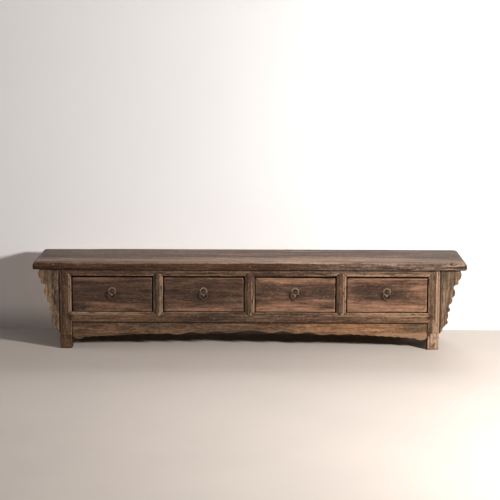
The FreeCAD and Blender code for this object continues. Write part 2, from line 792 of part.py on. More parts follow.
def drawer(index):
    name = f"drawer_{index + 1}"
    x = drawer_x(index)
    side_x = {
        "left": (f"{x} - drawer_half", f"{x} - drawer_half + drawer_side_thick"),
        "right": (f"{x} + drawer_half - drawer_side_thick", f"{x} + drawer_half"),
    }
    held = about(x, "drawer_half - drawer_side_thick + drawer_groove")
    back = block(f"{name}_back", held,
                 ("drawer_rear - drawer_back_inset - drawer_back_thick", "drawer_rear - drawer_back_inset"),
                 ("bottom_top", "side_head"))
    bottom = block(f"{name}_bottom", held, ("drawer_inner - drawer_groove", "drawer_rear"),
                   ("bottom_floor", "bottom_top"))
    tails = {end: [dovetail(f"{name}_tail_{end}_{row + 1}", across[0],
                            f"drawer_floor + {row + 0.5} * tail_pitch")
                   for row in range(TAILS_PER_CORNER)]
             for end, across in side_x.items()}
    sides = [cut(f"{name}_side_{end}",
                 fuse(f"{name}_side_{end}_tailed",
                      block(f"{name}_side_{end}_board", across, ("drawer_inner", "drawer_rear"),
                            ("drawer_floor", "side_head")),
                      *tails[end]),
                 back, bottom)
             for end, across in side_x.items()]
    shank, *hardware = pull(index, x)
    face, wood = stock(f"{name}_face", about(x, "drawer_half"), ("drawer_face", "drawer_inner"),
                       ("drawer_floor", "drawer_head"))
    bevel_edges(face, wood, f"{name}_bevel", "drawer_front_bevel", {"Y": "drawer_face"})
    front = cut(f"{name}_front", face, *tails["left"], *tails["right"], bottom, shank)
    return [front, *sides, back, bottom, *hardware]


def pull(index, x):
    """The shank that goes through the drawer front, then the plate, the split pin and the ring."""
    tag = index + 1
    strip_x = about(x, "strip_width / 2")
    shank = block(f"pin_shank_{tag}", strip_x, ("eye_y + eye_hole", "drawer_inner + strip_thick"),
                  about("eye_z", "strip_thick"))
    bends = block(f"pin_bends_{tag}", strip_x, ("drawer_inner", "drawer_inner + strip_thick"),
                  about("eye_z", "pin_bend"))
    loop, hole = (rod(f"pin_{part}_{tag}", EYE_SIDES, radius, "strip_width",
                      strip_x[0], "eye_y", "eye_z", ALONG_X)
                  for part, radius in (("loop", "eye_outer"), ("hole", "eye_hole")))
    pin = cut(f"pull_pin_{tag}", fuse(f"pin_whole_{tag}", loop, shank, bends), hole)

    rim, boss = (rod(f"plate_{part}_{tag}", DISC_SIDES, radius, f"drawer_face - ({front})",
                     x, front, "eye_z", ALONG_Y)
                 for part, radius, front in (("rim", "plate_radius", "drawer_face - plate_edge"),
                                             ("boss", "plate_flat", "plate_front")))
    plate = cut(f"pull_plate_{tag}", fuse(f"plate_whole_{tag}", rim, boss), pin)
    disc, finger_hole = (rod(f"ring_{part}_{tag}", DISC_SIDES, radius, "2 * ring_wire",
                             x, "eye_y - ring_wire", "eye_z - ring_radius", ALONG_Y)
                         for part, radius in (("disc", "ring_radius + ring_wire"),
                                              ("hole", "ring_radius - ring_wire")))
    ring = cut(f"pull_ring_{tag}", disc, finger_hole)
    return shank, plate, pin, ring


# The whole table

nodes = [top_board()]
nodes += [leg(*corner) for corner in CORNERS]
nodes += [wing(*corner) for corner in CORNERS]
nodes.append(front_rail("front_top_rail", "max(leg_in + top_rail_height; rail_tenon_end)", RAIL_Z["top"],
                        "opening_top", "opening_top + quirk_line", top_outline, front_top_tenons))
nodes.append(front_rail("front_lower_rail", "max(leg_in + lower_mitre; rail_tenon_end)", RAIL_Z["lower"],
                        "opening_floor", "opening_floor - quirk_line", lower_outline, front_lower_tenons,
                        apron_top_tongue, *runner_stubs))
nodes += [divider(index) for index in range(DIVIDERS)]
nodes.append(front_apron())
nodes += [side_rail(level, end) for level in RAIL_Z for end in ENDS]
nodes += side_panels.values()
nodes.append(group("side_aprons", [side_apron(end) for end in ENDS]))
nodes.append(back_rail("top", back_top_tenons))
nodes.append(back_rail("lower", back_lower_tenons, *runner_stubs))
nodes.append(back_panel)
nodes.append(group("top_battens", [batten(index) for index in range(DIVIDERS)]))
nodes.append(group("drawer_runners", [runner(index) for index in range(DRAWERS + 1)]))
nodes.append(group("drawer_guides", [guide(index) for index in range(DRAWERS + 1)]))
for index in range(DRAWERS):
    nodes += drawer(index)

doc.recompute()
failed = [thing.Label for thing in doc.Objects if {"Invalid", "Error"} & set(thing.State)]
failed += [node.Label for node in nodes if node.Shape.isNull() or not node.Shape.isValid()]
if failed:
    raise RuntimeError("These did not build: " + ", ".join(failed))

os.makedirs("parts", exist_ok=True)
for node in nodes:
    node.Shape.exportStep(f"parts/{node.Label}.step")
print(len(nodes), "nodes,", sum(len(node.Shape.Solids) for node in nodes), "solids")
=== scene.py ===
import itertools
import json
import math

import bpy
import numpy as np
from mathutils import Matrix, Vector


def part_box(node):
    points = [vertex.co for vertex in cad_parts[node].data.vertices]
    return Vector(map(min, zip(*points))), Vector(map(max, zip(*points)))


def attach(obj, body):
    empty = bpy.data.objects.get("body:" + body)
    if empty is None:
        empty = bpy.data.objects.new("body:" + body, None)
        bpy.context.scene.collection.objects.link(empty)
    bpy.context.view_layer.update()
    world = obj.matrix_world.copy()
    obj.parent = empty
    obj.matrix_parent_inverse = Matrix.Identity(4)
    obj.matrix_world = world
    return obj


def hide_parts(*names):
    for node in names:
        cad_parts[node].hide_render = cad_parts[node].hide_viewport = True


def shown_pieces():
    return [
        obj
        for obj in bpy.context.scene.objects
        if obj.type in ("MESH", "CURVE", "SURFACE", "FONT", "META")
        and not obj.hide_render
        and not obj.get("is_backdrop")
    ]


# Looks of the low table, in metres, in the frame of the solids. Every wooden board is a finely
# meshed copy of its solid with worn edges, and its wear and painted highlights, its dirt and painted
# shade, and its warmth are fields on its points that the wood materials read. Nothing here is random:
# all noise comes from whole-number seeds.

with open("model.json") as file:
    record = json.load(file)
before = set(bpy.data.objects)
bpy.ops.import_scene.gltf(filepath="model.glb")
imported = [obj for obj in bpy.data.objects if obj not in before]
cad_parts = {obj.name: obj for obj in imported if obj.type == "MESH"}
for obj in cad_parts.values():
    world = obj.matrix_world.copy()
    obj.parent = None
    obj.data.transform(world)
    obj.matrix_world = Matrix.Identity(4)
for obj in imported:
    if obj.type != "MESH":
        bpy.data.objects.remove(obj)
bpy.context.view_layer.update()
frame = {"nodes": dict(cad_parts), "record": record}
record = frame["record"]
X, Y, Z = 0, 1, 2


# Sizes taken from the solids

def low(node):
    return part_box(node)[0]


def high(node):
    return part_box(node)[1]


TOP_FRONT = low("top_board").y
LEG_TOP = high("leg_front_right").z
LEG_IN, LEG_OUT = low("leg_front_right").x, high("leg_front_right").x
FRAME_FACE = low("front_top_rail").y
DRAWERS = (1, 2, 3, 4)
# Width of the bead on the front frame, and how far from the edge the middle of its groove is.
BEAD = 0.010
QUIRK_MIDDLE = 0.01225


# Noise

AXIS_PRIMES = (73856093, 19349663, 83492791)
SEED_PRIME, MIXING_PRIME = 2654435761, 1274126177
LOW_32_BITS, LOW_16_BITS = 0xFFFFFFFF, 0xFFFF
LAYER_SHIFT, LAYER_FADE = 31.7, 0.55


def lattice(cell, seed):
    """A number from 0 to 1 for each whole-numbered point."""
    mixed = seed * SEED_PRIME
    for axis, prime in enumerate(AXIS_PRIMES):
        mixed = mixed ^ cell[:, axis] * prime
    mixed = mixed & LOW_32_BITS
    mixed = (mixed ^ mixed >> 13) * MIXING_PRIME & LOW_32_BITS
    return ((mixed ^ mixed >> 16) & LOW_16_BITS) / LOW_16_BITS


def smooth_noise(points, seed):
    """The lattice's numbers, blended smoothly between its points."""
    cell = np.floor(points).astype(np.int64)
    part = points - cell
    fade = part * part * (3 - 2 * part)
    total = np.zeros(len(points))
    for corner in itertools.product((0, 1), repeat=3):
        weight = np.prod(np.where(corner, fade, 1 - fade), axis=1)
        total += weight * lattice(cell + np.array(corner), seed)
    return total


def noise(points, spot, seed, layers=3):
    """Layered noise from 0 to 1. The spot is the size of its largest blots along x, y and z."""
    scaled = points / np.array(spot)
    total, weight, weights = 0, 1.0, 0
    for layer in range(layers):
        total = total + weight * smooth_noise(scaled * 2 ** layer + LAYER_SHIFT * layer, seed + layer)
        weights += weight
        weight *= LAYER_FADE
    return total / weights


def streaks(points, grain, length, width, seed, layers=3):
    """Noise in streaks that follow the grain."""
    spot = np.full(3, width)
    spot[grain] = length
    return noise(points, spot, seed, layers)


def step(low_end, high_end, values):
    """0 below the low end, 1 above the high end, smooth between."""
    share = np.clip((values - low_end) / (high_end - low_end), 0, 1)
    return share * share * (3 - 2 * share)


def blot(points, x, z, width, height):
    """A soft spot on the front, seen from the front."""
    return np.exp(-((points[:, X] - x) / width) ** 2 - ((points[:, Z] - z) / height) ** 2)


# Worn copies of the boards

# In each round of wear a point keeps a share of its own place and follows its neighbours for the rest.
STAY, FOLLOW = 0.4, 0.6
# Share of the wear that reaches hollows, and depth of the uneven worn faces.
HOLLOW_SHARE = 0.2
SKIN_DEPTH = 0.0008
FIRST_SEED, SEED_STEP = 101, 37


def fine_copy(node, voxel, grain, stretch):
    """A new object with the node's shape in small even faces, longer along the grain."""
    squeeze = [1.0, 1.0, 1.0]
    squeeze[grain] = 1 / stretch
    squeezed = Matrix.Diagonal((*squeeze, 1))
    mesh = frame["nodes"][node].data.copy()
    mesh.transform(squeezed)
    piece = bpy.data.objects.new(node + "_worn", mesh)
    bpy.context.collection.objects.link(piece)
    remesh = piece.modifiers.new("fine", "REMESH")
    remesh.mode = "VOXEL"
    remesh.voxel_size = voxel
    graph = bpy.context.evaluated_depsgraph_get()
    fine = bpy.data.meshes.new_from_object(piece.evaluated_get(graph))
    piece.modifiers.clear()
    piece.data = fine
    bpy.data.meshes.remove(mesh)
    fine.transform(squeezed.inverted())
    fine.materials.clear()
    fine.shade_smooth()
    return piece


def read(mesh):
    """The mesh's points, normals and edges as arrays."""
    points = np.zeros(len(mesh.vertices) * 3, np.float32)
    mesh.vertices.foreach_get("co", points)
    normals = np.zeros(len(mesh.vertices) * 3, np.float32)
    mesh.vertex_normals.foreach_get("vector", normals)
    edges = np.zeros(len(mesh.edges) * 2, np.int32)
    mesh.edges.foreach_get("vertices", edges)
    return points.reshape(-1, 3).astype(float), normals.reshape(-1, 3).astype(float), edges.reshape(-1, 2)


def relaxed(points, edges, rounds):
    """The points after each has moved towards its neighbours, the near ones most."""
    first, second = edges.T
    weight = 1 / np.maximum(np.sum((points[first] - points[second]) ** 2, axis=1), 1e-10)
    count = len(points)
    whole = np.bincount(first, weight, count) + np.bincount(second, weight, count)
    for _ in range(rounds):
        moved = np.empty_like(points)
        for axis in range(3):
            values = points[:, axis]
            moved[:, axis] = (np.bincount(first, weight * values[second], count)
                              + np.bincount(second, weight * values[first], count)) / whole
        points = STAY * points + FOLLOW * moved
    return points


def write(piece, points, fields):
    """Move the points of a piece, and give each its value of every field."""
    mesh = piece.data
    mesh.vertices.foreach_set("co", points.astype(np.float32).ravel())
    for name, values in fields.items():
        attribute = mesh.attributes.new(name, "FLOAT", "POINT")
        attribute.data.foreach_set("value", values.astype(np.float32))
    mesh.update()


BODY_OF = {node: body for body, nodes in record["behaviour"]["bodies"].items() for node in nodes}


def stand_in(piece, node, material):
    """Let a piece take its solid's place, in the solid's body and material slot."""
    piece.data.materials.append(material)
    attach(piece, BODY_OF[node])
    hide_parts(node)


def wear_board(node, voxel, grain, stretch, rounds, material, fields_of, seed):
    """Copy a board, wear its edges unevenly, and give its points the fields of its material."""
    piece = fine_copy(node, voxel, grain, stretch)
    points, normals, edges = read(piece.data)
    soft = relaxed(points, edges, rounds)
    bulge = np.sum((points - soft) * normals, axis=1)
    rubbed = 0.2 + 0.8 * step(0.3, 0.7, streaks(points, grain, 0.14, 0.04, seed))
    share = np.where(bulge > 0, rubbed, HOLLOW_SHARE)
    worn_points = points + (soft - points) * share[:, None]
    worn_points -= normals * (SKIN_DEPTH * streaks(points, grain, 0.3, 0.05, seed + 11, 2))[:, None]
    # The first field is wood rubbed bare and painted highlight, the second dirt and painted shade, warm
    # is a warmer brown, and tone scales the brightness.
    fields = {
        "worn": 0.9 * step(0.0001, 0.0008, bulge) * rubbed,
        # Painted shade in hollows and creases, partly dirt.
        "grime": 0.6 * step(0.0001, 0.0006, -bulge),
        "warm": 0.5 * streaks(points, grain, 0.5, 0.08, seed + 17),
        "tone": 0.74 + 0.52 * streaks(points, grain, 0.25, 0.03, seed + 23),
    }
    dents, shift = fields_of(node, points, normals, fields, seed)
    write(piece, worn_points - normals * dents[:, None] + shift, fields)
    stand_in(piece, node, material)


# Materials

def colour(red, green, blue):
    """Linear colour from the 0 to 255 values that a picture shows."""
    def linear(value):
        share = value / 255
        return share / 12.92 if share <= 0.04045 else ((share + 0.055) / 1.055) ** 2.4
    return (linear(red), linear(green), linear(blue), 1.0)


class Graph:
    """A material and short ways to add its nodes."""

    # Sockets of the mix node for colours, which share their names with those for plain numbers.
    FIRST_COLOUR, SECOND_COLOUR, MIXED_COLOUR = 6, 7, 2

    def __init__(self, name):
        self.material = bpy.data.materials.new(name)
        self.material.use_nodes = True
        self.tree = self.material.node_tree
        self.shader = self.tree.nodes["Principled BSDF"]

    def feed(self, socket, value):
        """Link a socket to another one, or set its value."""
        if isinstance(value, bpy.types.NodeSocket):
            self.tree.links.new(value, socket)
        else:
            socket.default_value = value

    def place(self, scale):
        """Object coordinates, which are the frame's metres, times a scale."""
        spot = self.tree.nodes.new("ShaderNodeTexCoord")
        mapping = self.tree.nodes.new("ShaderNodeMapping")
        mapping.inputs["Scale"].default_value = scale
        self.tree.links.new(spot.outputs["Object"], mapping.inputs["Vector"])
        return mapping.outputs["Vector"]

    def noise(self, scale, detail=4.0, roughness=0.6, distortion=0.0):
        texture = self.tree.nodes.new("ShaderNodeTexNoise")
        self.feed(texture.inputs["Vector"], self.place(scale))
        for name, value in (("Scale", 1.0), ("Detail", detail), ("Roughness", roughness),
                            ("Distortion", distortion)):
            self.feed(texture.inputs[name], value)
        return texture.outputs["Fac"]

    def sway(self, *parts):
        """The sum of noises that swing about nought, each given with its weight."""
        total = 0.0
        for texture, weight in parts:
            swing = self.math("SUBTRACT", texture, 0.5)
            total = self.math("ADD", self.math("MULTIPLY", swing, weight), total)
        return total

    def math(self, operation, first, second=0.0):
        node = self.tree.nodes.new("ShaderNodeMath")
        node.operation = operation
        self.feed(node.inputs[0], first)
        self.feed(node.inputs[1], second)
        return node.outputs[0]

    def spread(self, value, low_end, high_end, to_low=0.0, to_high=1.0):
        """A smooth step from to_low at the low end to to_high at the high end."""
        node = self.tree.nodes.new("ShaderNodeMapRange")
        node.interpolation_type = "SMOOTHSTEP"
        for name, setting in (("Value", value), ("From Min", low_end), ("From Max", high_end),
                              ("To Min", to_low), ("To Max", to_high)):
            self.feed(node.inputs[name], setting)
        return node.outputs["Result"]

    def mix(self, share, first, second, blend="MIX"):
        node = self.tree.nodes.new("ShaderNodeMix")
        node.data_type = "RGBA"
        node.blend_type = blend
        self.feed(node.inputs[0], share)
        self.feed(node.inputs[self.FIRST_COLOUR], first)
        self.feed(node.inputs[self.SECOND_COLOUR], second)
        return node.outputs[self.MIXED_COLOUR]

    def ramp(self, value, *stops):
        node = self.tree.nodes.new("ShaderNodeValToRGB")
        elements = node.color_ramp.elements
        while len(elements) < len(stops):
            elements.new(0.5)
        for element, (at, shade) in zip(elements, stops):
            element.position = at
            element.color = shade
        self.feed(node.inputs["Fac"], value)
        return node.outputs["Color"]

    def field(self, name):
        node = self.tree.nodes.new("ShaderNodeAttribute")
        node.attribute_name = name
        return node.outputs["Fac"]

    def bump(self, height, strength, distance):
        node = self.tree.nodes.new("ShaderNodeBump")
        self.feed(node.inputs["Height"], height)
        node.inputs["Strength"].default_value = strength
        node.inputs["Distance"].default_value = distance
        self.feed(self.shader.inputs["Normal"], node.outputs["Normal"])


def grained(grain, along, across):
    """Scale of a texture that is drawn out along the grain."""
    scale = [across, across, across]
    scale[grain] = along
    return scale


def dimmed(shade, share):
    return (*(share * part for part in shade[:3]), 1.0)


# Places of the dark, middle and light wood on the ramps, and how bright warm wood is at each.
STOPS = (0.26, 0.50, 0.74)
WARM_SHARES = (0.40, 0.9, 1.5)


def old_wood(name, grain, dark, middle, light, bare, warm, soot, gloss=0.62, shine=0.35,
             weights=(0.6, 0.9, 0.6, 0.7)):
    """Old wood: streaked along the grain, bare where rubbed and pale where highlights are painted, dirty
    from hands, and dark with painted shade in corners, hollows and openings.

    The weights are those of its broad, streaked, fibrous and mottled noise.
    """
    graph = Graph(name)
    broad = graph.noise(grained(grain, along=2.6, across=38), roughness=0.6, distortion=0.5)
    streak = graph.noise(grained(grain, along=9, across=130), roughness=0.62, distortion=0.3)
    fibre = graph.noise(grained(grain, along=24, across=320), roughness=0.65, distortion=0.2)
    mottle = graph.noise(grained(grain, along=55, across=120), roughness=0.65, distortion=0.4)
    hair = graph.noise(grained(grain, along=18, across=560), detail=2, roughness=0.5)
    patch = graph.noise(grained(grain, along=8, across=30), roughness=0.66, distortion=0.6)
    fleck = graph.noise(grained(grain, along=70, across=150), detail=2, roughness=0.5)
    shade = graph.math("ADD", 0.5, graph.sway(*zip((broad, streak, fibre, mottle), weights)))
    base = graph.ramp(shade, *zip(STOPS, (dark, middle, light)))
    glowing = graph.ramp(shade, *zip(STOPS, (dimmed(warm, share) for share in WARM_SHARES)))
    ragged = graph.sway((patch, 0.7), (streak, 0.7), (mottle, 0.6))
    cloud = graph.noise(grained(grain, along=3.1, across=13), detail=3, roughness=0.55)
    stain = graph.spread(cloud, 0.50, 0.68, to_high=0.5)
    base = graph.mix(stain, base, graph.mix(0.9, base, RED_STAIN, "MULTIPLY"))
    warmth = graph.math("ADD", graph.field("warm"), graph.math("MULTIPLY", ragged, 0.7))
    base = graph.mix(graph.spread(warmth, 0.15, 0.95), base, glowing)
    # Bare wood where rubbed, and the painted highlights.
    rubbed = graph.spread(graph.math("ADD", graph.field("worn"), ragged), 0.20, 0.90)
    base = graph.mix(rubbed, base, graph.mix(0.8, base, bare))
    # Dirt, and painted shade in corners, hollows and openings, darken the wood towards smoke and soot.
    dirt_and_shade = graph.math("ADD", graph.field("grime"), graph.math("MULTIPLY", ragged, 0.4))
    base = graph.mix(graph.spread(dirt_and_shade, 0.15, 0.80), base, graph.mix(1.0, base, SMOKE_AND_SHADE, "MULTIPLY"))
    base = graph.mix(graph.spread(dirt_and_shade, 0.55, 1.00, to_high=0.85), base, soot)
    base = graph.mix(graph.spread(fleck, 0.63, 0.78, to_high=0.5), base, bare)
    pores = graph.spread(hair, 0.56, 0.70)
    base = graph.mix(graph.math("MULTIPLY", pores, 0.5), base, soot)
    base = graph.mix(1.0, base, graph.field("tone"), "MULTIPLY")
    graph.feed(graph.shader.inputs["Base Color"], base)
    matt = graph.spread(shade, 0.3, 0.75, to_low=gloss - 0.10, to_high=gloss + 0.14)
    graph.feed(graph.shader.inputs["Roughness"], matt)
    graph.shader.inputs["Specular IOR Level"].default_value = shine
    relief = graph.math("SUBTRACT", fibre, graph.math("MULTIPLY", pores, 0.35))
    graph.bump(relief, strength=0.55, distance=0.0012)
    return graph.material


# Shades of each kind of wood
RED_STAIN = (1.0, 0.80, 0.72, 1.0)
SMOKE_AND_SHADE = (0.40, 0.37, 0.35, 1.0)
SOOT_AND_SHADE = colour(20, 15, 12)
FRAME_COLOURS = dict(dark=colour(46, 35, 28), middle=colour(94, 74, 59), light=colour(150, 119, 95),
                     bare=colour(194, 159, 132), warm=colour(138, 103, 77), soot=SOOT_AND_SHADE)
APRON_COLOURS = dict(dark=colour(46, 36, 28), middle=colour(102, 80, 63), light=colour(150, 120, 94),
                     bare=colour(180, 143, 113), warm=colour(161, 119, 88), soot=SOOT_AND_SHADE)
WING_COLOURS = dict(dark=colour(44, 36, 29), middle=colour(102, 86, 70), light=colour(150, 127, 104),
                    bare=colour(180, 147, 115), warm=colour(144, 110, 82), soot=SOOT_AND_SHADE)
DRAWER_COLOURS = dict(dark=colour(46, 34, 27), middle=colour(84, 64, 53), light=colour(122, 96, 79),
                      bare=colour(184, 143, 115), warm=colour(160, 120, 96), soot=colour(36, 27, 22))
TOP_COLOURS = dict(dark=colour(52, 42, 36), middle=colour(109, 90, 79), light=colour(178, 152, 137),
                   bare=colour(182, 152, 130), warm=colour(92, 64, 47), soot=colour(34, 24, 18))
INNER_COLOURS = dict(dark=colour(112, 88, 64), middle=colour(146, 118, 88), light=colour(168, 140, 108),
                     bare=colour(184, 154, 120), warm=colour(164, 122, 86), soot=colour(62, 46, 34))

MATERIALS = {
    "top_x": old_wood("top_wood", X, gloss=0.6, shine=0.14, **TOP_COLOURS),
    "frame_x": old_wood("frame_wood_level", X, **FRAME_COLOURS),
    "frame_y": old_wood("frame_wood_end", Y, **FRAME_COLOURS),
    "frame_z": old_wood("frame_wood_upright", Z, **FRAME_COLOURS),
    "apron_x": old_wood("apron_wood", X, **APRON_COLOURS),
    "apron_y": old_wood("end_apron_wood", Y, **APRON_COLOURS),
    "wing_z": old_wood("wing_wood", Z, **WING_COLOURS),
    "drawer_x": old_wood("drawer_wood", X, weights=(1.0, 0.7, 0.4, 0.5), **DRAWER_COLOURS),
    "inner_x": old_wood("inner_wood_level", X, gloss=0.72, **INNER_COLOURS),
    "inner_y": old_wood("inner_wood_deep", Y, gloss=0.72, **INNER_COLOURS),
}


def forged_iron():
    graph = Graph("forged_iron")
    mottle = graph.noise((160, 160, 160), detail=5, roughness=0.65)
    rust = graph.noise((420, 420, 420), detail=3, roughness=0.6, distortion=0.5)
    base = graph.ramp(mottle, (0.35, colour(56, 44, 37)), (0.62, colour(108, 88, 72)))
    base = graph.mix(graph.spread(rust, 0.52, 0.66, to_high=0.6), base, colour(116, 80, 57))
    rubbed = graph.spread(graph.field("worn"), 0.30, 1.00, to_high=0.8)
    base = graph.mix(rubbed, base, colour(190, 160, 134))
    base = graph.mix(graph.field("grime"), base, SOOT_AND_SHADE)
    graph.feed(graph.shader.inputs["Base Color"], base)
    graph.shader.inputs["Metallic"].default_value = 0.3
    matt = graph.spread(mottle, 0.3, 0.7, to_low=0.34, to_high=0.55)
    graph.feed(graph.shader.inputs["Roughness"], matt)
    graph.bump(mottle, strength=0.5, distance=0.0008)
    return graph.material


IRON = forged_iron()


# What each kind of board shows

CHIP_DEPTH = 0.0009
BEAD_DROP, BEAD_ROUNDNESS = 0.0035, 0.9
OUTLINE_SLICE = 0.004


def seen_from_front(normals):
    """1 on faces that look forward, 0 on those that don't."""
    return step(0.2, 0.6, -normals[:, Y])


def lift(fields, name, values):
    """Raise a field to the given values where it is lower."""
    fields[name] = np.maximum(fields[name], values)


def plain_fields(node, points, normals, fields, seed):
    """No marks besides the even wear."""
    return np.zeros(len(points)), 0


def beads(points, normals, *edges):
    """Strips of bead on the front with the wood beside them, by the given edges: (axis, place)."""
    strip = np.zeros(len(points))
    for axis, place in edges:
        strip = np.maximum(strip, step(BEAD + 0.009, BEAD + 0.003, np.abs(points[:, axis] - place)))
    return strip * seen_from_front(normals)


def half_round(points, *edges):
    """Shift that rounds each bead down into its quirk."""
    drop = np.zeros(len(points))
    for axis, place in edges:
        across = np.abs(points[:, axis] - place)
        share = np.clip((across - BEAD / 2) / (QUIRK_MIDDLE - BEAD / 2), 0, 1)
        fall = BEAD_DROP * (1 - np.sqrt(1 - BEAD_ROUNDNESS * share ** 2))
        drop = np.maximum(drop, np.where(across < QUIRK_MIDDLE, fall, 0))
    behind = points[:, Y] - FRAME_FACE
    shift = np.zeros_like(points)
    shift[:, Y] = np.where(behind < QUIRK_MIDDLE, np.maximum(drop - behind, 0), 0)
    return shift


def chipped(points, grain, seed):
    """Where a bead or an edge is still sound: 1, and where it is chipped or dirty: 0."""
    return step(0.36, 0.62, streaks(points, grain, 0.07, 0.02, seed + 3))


def break_beads(points, fields, grain, strip, sound, seed):
    """Darken short nicks along the beads, and tell how deep chips and nicks go."""
    nicks = strip * step(0.56, 0.72, streaks(points, grain, 0.018, 0.006, seed + 11))
    lift(fields, "grime", 0.6 * nicks)
    fields["worn"] *= 1 - 0.7 * nicks
    return CHIP_DEPTH * (1 - sound) * strip + CHIP_DEPTH * nicks


def into_openings(points, normals):
    """The edges that face each other in the drawer openings, where dirt and shade gather."""
    faces_inwards = step(0.5, 0.2, -normals[:, Y])
    near_front = step(-0.10, -0.14, points[:, Y])
    return faces_inwards * near_front


def corner_mark(points, fields, side):
    """The pale worn spot, ringed with dirt, where the lower rail is mitred into a leg."""
    joint = (low("front_lower_rail").z + high("front_lower_rail").z) / 2
    place = side * (LEG_IN + 0.012)
    lift(fields, "grime", 0.8 * blot(points, place, joint + 0.004, 0.022, 0.020))
    lift(fields, "worn", 0.75 * blot(points, place + side * 0.002, joint + 0.008, 0.008, 0.009))


# The legs were pieced with new feet: height of the seam, and how a foot differs, left and right.
FEET = {-1: {"seam": 0.066, "worn": 0.4, "warm": 0.4, "tone": -0.35},
        1: {"seam": 0.082, "worn": 1.5, "warm": -0.2, "tone": 0.28}}


def foot_fields(points, fields, foot_look, seed):
    """A rough pieced foot under a ragged seam. Tells how deep its dents and the seam go."""
    seam = foot_look["seam"] + 0.006 * (noise(points, (0.02, 0.02, 0.02), seed + 5) - 0.5)
    foot = step(seam + 0.002, seam - 0.002, points[:, Z])
    crack = np.exp(-((points[:, Z] - seam) / 0.003) ** 2)
    rough = noise(points, (0.012, 0.012, 0.02), seed + 7)
    lift(fields, "worn", foot * rough * foot_look["worn"])
    lift(fields, "grime", 0.7 * crack)
    lift(fields, "grime", foot * step(0.55, 0.30, rough) * 0.7)
    lift(fields, "grime", 0.6 * step(0.014, 0.004, points[:, Z]))
    fields["warm"] += foot * foot_look["warm"]
    fields["tone"] *= 1 + foot * foot_look["tone"]
    return 0.0016 * foot * rough, 0.001 * crack


def leg_fields(node, points, normals, fields, seed):
    """Chipped beads and a pieced foot; the right leg rubbed outside, a painted highlight, partly wear, on
    the left leg's inner bead that faces the light, and painted shade on the beads that face away from it.
    """
    side = 1 if "right" in node else -1
    sound = chipped(points, Z, seed)
    dents = np.zeros(len(points))
    shift = 0
    if "front" in node:
        inner = beads(points, normals, (X, side * LEG_IN))
        outer = beads(points, normals, (X, side * LEG_OUT))
        if side > 0:
            inset = LEG_OUT - points[:, X]
            off_edge = step(0.001, 0.005, inset)
            band = off_edge * step(0.025, 0.017, inset) * seen_from_front(normals)
            shin = off_edge * step(0.048, 0.03, inset) * step(0.17, 0.14, points[:, Z])
            lift(fields, "worn", band * (0.9 + 0.4 * sound))
            lift(fields, "worn", shin * seen_from_front(normals) * (0.5 + 0.4 * sound))
            # Painted shade on the inner bead, which faces away from the light, and dirt along the outer
            # edge.
            lift(fields, "grime", 0.35 * inner + 0.4 * step(0.004, 0.002, inset))
        else:
            # Painted highlight, partly wear, on the inner bead, which faces the light.
            lift(fields, "worn", inner * (0.7 + 0.5 * sound) * step(0.16, 0.19, points[:, Z]))
            # Painted shade on the outer bead, which faces away from the light.
            lift(fields, "grime", 0.5 * outer)
            fields["tone"] *= 1 + 0.35 * step(0.31, 0.15, points[:, Z])
        # Painted shade in the opening, on the side that faces the drawer.
        lift(fields, "grime", into_openings(points, normals) * step(0.0, 0.5, -side * normals[:, X]))
        corner_mark(points, fields, side)
        dents += break_beads(points, fields, Z, np.maximum(inner, outer), sound, seed)
        shift = half_round(points, (X, side * LEG_IN), (X, side * LEG_OUT))
    roughness, crack = foot_fields(points, fields, FEET[side], seed)
    return dents + roughness + crack, shift


# How bright the right-hand bead of each divider is painted: a painted highlight where it faces the light,
# partly wear.
DIVIDER_BEAD_HIGHLIGHTS = {"divider_1": 0.6, "divider_2": 0.35, "divider_3": 0.9}


def divider_fields(node, points, normals, fields, seed):
    """A painted highlight, partly wear, on the right-hand bead, which faces the light; painted shade,
    partly dirt, on the left-hand bead, which faces away; and dirt between them.
    """
    lowest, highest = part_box(node)
    sound = chipped(points, Z, seed)
    face = seen_from_front(normals)
    edges = (X, lowest.x), (X, highest.x)
    left, right = (beads(points, normals, edge) for edge in edges)
    # Painted highlight, partly wear, on the right-hand bead.
    lift(fields, "worn", right * (DIVIDER_BEAD_HIGHLIGHTS[node] + 0.6 * sound))
    # Painted shade, partly dirt, on the left-hand bead.
    lift(fields, "grime", left * (0.3 + 0.4 * (1 - sound)))
    lift(fields, "grime", 0.30 * face * (1 - np.maximum(left, right)))
    # Painted shade in the openings.
    lift(fields, "grime", into_openings(points, normals))
    foot = blot(points, (lowest.x + 2 * highest.x) / 3, lowest.z + 0.012, 0.012, 0.010)
    lift(fields, "worn", 0.8 * foot)
    dents = break_beads(points, fields, Z, np.maximum(left, right), sound, seed)
    return dents, half_round(points, *edges)


